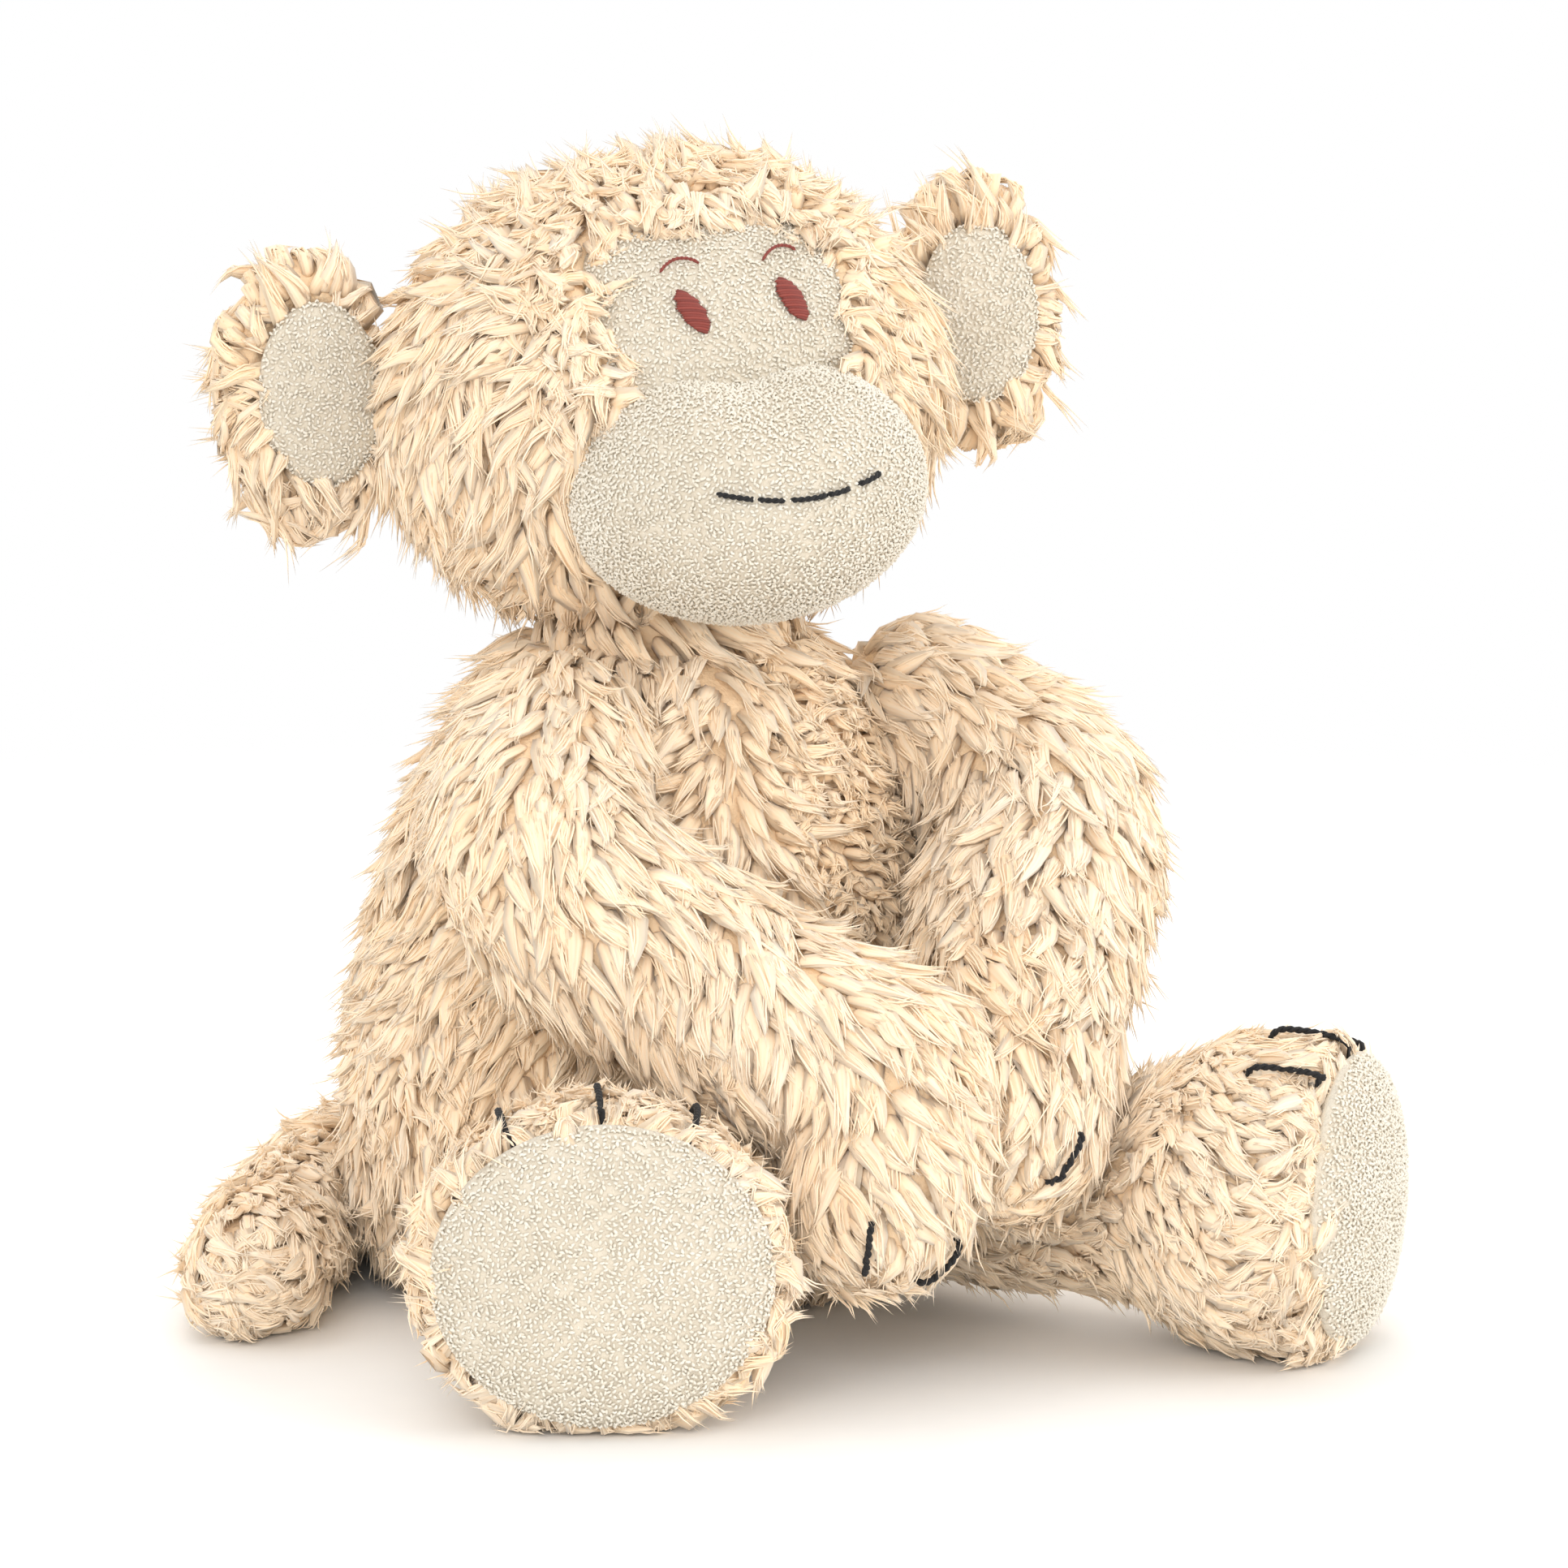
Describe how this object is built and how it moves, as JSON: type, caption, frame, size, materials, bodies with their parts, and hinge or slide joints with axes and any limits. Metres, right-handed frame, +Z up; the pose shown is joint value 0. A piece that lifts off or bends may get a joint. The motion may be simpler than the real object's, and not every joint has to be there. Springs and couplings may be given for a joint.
{
  "type": "stuffed monkey toy",
  "caption": "Sitting stuffed monkey toy of cream shaggy fur with a terry muzzle, face, inner ears and soles, embroidered eyes and mouth, soft swinging limbs, round ears and a tail.",
  "frame": {"origin": "on the flat seat that the torso sits on, under the middle of the neck", "axes": "+Z up, the monkey faces -Y, its left side is at +X"},
  "size_m": [0.2682, 0.2675, 0.2711],
  "materials": {
    "cream_fur": "shaggy pile",
    "off_white_terry": "short looped pile",
    "white_wadding": "loose fibre",
    "rust_thread": "satin stitch",
    "black_thread": "twisted yarn",
    "cream_thread": "sewing thread"
  },
  "bodies": {
    "torso": {"chest_seam": "cream_thread", "torso_cover": "cream_fur", "torso_stuffing": "white_wadding"},
    "head": {"face_panel": "off_white_terry", "head_cover": "cream_fur", "head_stuffing": "white_wadding", "left_brow": "rust_thread", "left_eye": "rust_thread", "mouth_thread": "black_thread", "muzzle_cover": "off_white_terry", "muzzle_stuffing": "white_wadding", "right_brow": "rust_thread", "right_eye": "rust_thread"},
    "left_arm": {"left_arm_cover": "cream_fur", "left_arm_stuffing": "white_wadding"},
    "left_ear": {"left_ear_back": "cream_fur", "left_ear_inner": "off_white_terry"},
    "left_hand": {"left_finger_stitch_1": "black_thread", "left_finger_stitch_2": "black_thread", "left_hand_cover": "cream_fur", "left_hand_stuffing": "white_wadding"},
    "left_leg": {"left_leg_cover": "cream_fur", "left_leg_stuffing": "white_wadding", "left_sole": "off_white_terry", "left_toe_stitch_1": "black_thread", "left_toe_stitch_2": "black_thread", "left_toe_stitch_3": "black_thread"},
    "neck": {"neck_stuffing": "white_wadding"},
    "right_arm": {"right_arm_cover": "cream_fur", "right_arm_stuffing": "white_wadding"},
    "right_ear": {"right_ear_back": "cream_fur", "right_ear_inner": "off_white_terry"},
    "right_hand": {"right_finger_stitch_1": "black_thread", "right_finger_stitch_2": "black_thread", "right_hand_cover": "cream_fur", "right_hand_stuffing": "white_wadding"},
    "right_leg": {"right_leg_cover": "cream_fur", "right_leg_stuffing": "white_wadding", "right_sole": "off_white_terry", "right_toe_stitch_1": "black_thread", "right_toe_stitch_2": "black_thread", "right_toe_stitch_3": "black_thread"},
    "tail": {"tail_cover": "cream_fur", "tail_stuffing": "white_wadding"}
  },
  "joints": [
    {"name": "head_turn", "type": "hinge", "parent": "torso", "child": "neck", "pos_m": [0, 0, 0.164], "axis": [0, 0, 1], "range_deg": [-30, 30]},
    {"name": "head_nod", "type": "hinge", "parent": "neck", "child": "head", "pos_m": [0, 0, 0.164], "axis": [1, 0, 0], "range_deg": [-10, 10]},
    {"name": "right_ear_flap", "type": "hinge", "parent": "head", "child": "right_ear", "pos_m": [-0.07042, 0.02222, 0.22093], "axis": [-0.0868, 0.0076, 0.9962], "range_deg": [-25, 25], "stiffness_Nm_per_rad": 0.03},
    {"name": "left_ear_flap", "type": "hinge", "parent": "head", "child": "left_ear", "pos_m": [0.07417, 0.00957, 0.23363], "axis": [-0.0868, 0.0076, 0.9962], "range_deg": [-25, 25], "stiffness_Nm_per_rad": 0.03},
    {"name": "right_arm_raise", "type": "hinge", "parent": "torso", "child": "right_arm", "pos_m": [-0.04506, -0.03681, 0.14], "axis": [-0.8944, 0, -0.4472], "range_deg": [0, 40]},
    {"name": "left_arm_raise", "type": "hinge", "parent": "torso", "child": "left_arm", "pos_m": [0.06236, -0.01221, 0.139], "axis": [-0.9285, 0, 0.3714], "range_deg": [0, 40]},
    {"name": "right_hand_lift", "type": "hinge", "parent": "right_arm", "child": "right_hand", "pos_m": [0.00214, -0.1184, 0.071], "axis": [-1, 0, 0], "range_deg": [0, 35]},
    {"name": "left_hand_lift", "type": "hinge", "parent": "left_arm", "child": "left_hand", "pos_m": [0.04603, -0.0968, 0.0762], "axis": [-0.9138, -0.4061, 0], "range_deg": [0, 35]},
    {"name": "right_leg_spread", "type": "hinge", "parent": "torso", "child": "right_leg", "pos_m": [-0.04898, -0.05034, 0.032], "axis": [0, 0, -1], "range_deg": [0, 35]},
    {"name": "left_leg_spread", "type": "hinge", "parent": "torso", "child": "left_leg", "pos_m": [0.04898, -0.05034, 0.032], "axis": [0, 0, 1], "range_deg": [0, 35]},
    {"name": "tail_swing", "type": "hinge", "parent": "torso", "child": "tail", "pos_m": [0, 0.07199, 0.02], "axis": [0, 0, -1], "range_deg": [0, 50]}
  ]
}
